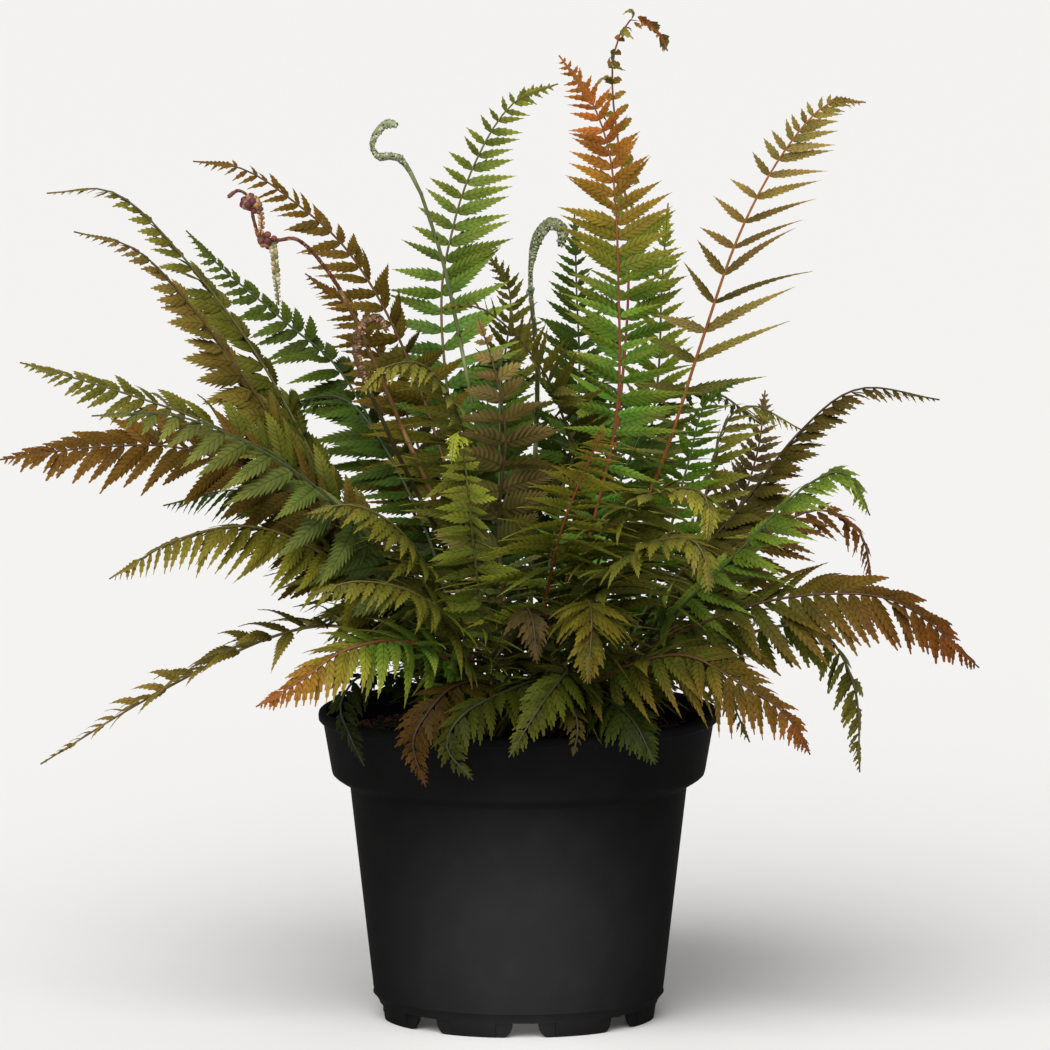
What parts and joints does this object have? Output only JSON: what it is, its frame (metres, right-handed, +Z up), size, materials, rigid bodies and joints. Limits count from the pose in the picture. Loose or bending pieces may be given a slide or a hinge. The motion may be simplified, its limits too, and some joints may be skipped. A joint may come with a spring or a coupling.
{
  "type": "potted autumn fern",
  "caption": "Bushy fern with arching green, bronze and copper fronds and scaly croziers, growing in a round black plastic nursery pot.",
  "frame": {"origin": "centre of the pot's foot, on the ground", "axes": "+Z up; -Y towards the front of the picture; +X to the right in the picture"},
  "size_m": [0.459, 0.3386, 0.4744],
  "materials": {
    "black_plastic": "slightly glossy moulded black polypropylene",
    "peat_soil": "damp crumbly peat",
    "scaly_crown": "brown papery scales over a woody crown",
    "crozier_scales": "rolled young frond under pale scales",
    "young_frond": "leathery copper-orange young leaf",
    "bronze_frond": "leathery bronze leaf",
    "olive_frond": "leathery olive-green leaf",
    "green_frond": "leathery green leaf",
    "dark_frond": "leathery dark green leaf"
  },
  "bodies": {
    "root": {"pot": "black_plastic", "soil": "peat_soil", "crown": "scaly_crown", "crozier_pale": "crozier_scales", "crozier_red": "crozier_scales", "crozier_scaly": "crozier_scales", "crozier_brown": "crozier_scales", "frond_top_front": "young_frond", "frond_top_right": "bronze_frond", "frond_top_left": "olive_frond", "frond_left_tall": "olive_frond", "frond_left_low": "olive_frond", "frond_left_front": "young_frond", "frond_right_big": "young_frond", "frond_right_arch": "bronze_frond", "frond_top_back": "young_frond", "frond_left_bronze": "bronze_frond", "frond_left_pale": "olive_frond", "frond_left_broad": "green_frond", "frond_front_rise": "young_frond", "frond_upper_left": "bronze_frond", "frond_left_arch": "olive_frond", "frond_right_low": "young_frond", "frond_front_left": "young_frond", "frond_centre_nod": "young_frond", "frond_right_nod": "olive_frond", "frond_right_nod_low": "olive_frond", "frond_right_hang": "olive_frond", "frond_right_thin": "young_frond", "frond_upper_arch": "olive_frond", "frond_left_far": "green_frond", "frond_centre_tall": "bronze_frond", "frond_centre_left": "olive_frond", "frond_front_curl": "olive_frond", "frond_front_drop": "young_frond", "frond_front_hook": "olive_frond", "frond_front_pale": "olive_frond", "frond_front_tuft": "green_frond", "frond_left_mid": "olive_frond", "frond_left_inner": "green_frond", "frond_left_back": "dark_frond", "frond_right_green": "green_frond", "frond_right_back": "dark_frond", "frond_right_upright": "bronze_frond", "frond_right_inner": "green_frond", "frond_back_right": "green_frond", "frond_back_centre": "dark_frond", "frond_back_left": "dark_frond", "frond_back_bronze": "bronze_frond", "frond_brim_right": "olive_frond", "frond_brim_left": "green_frond", "frond_centre_small": "young_frond", "frond_brim_small": "olive_frond", "frond_far_1": "dark_frond", "frond_far_2": "dark_frond", "frond_far_3": "dark_frond", "frond_far_4": "dark_frond", "frond_far_5": "dark_frond", "frond_far_6": "dark_frond", "frond_far_7": "dark_frond"}
  },
  "joints": []
}
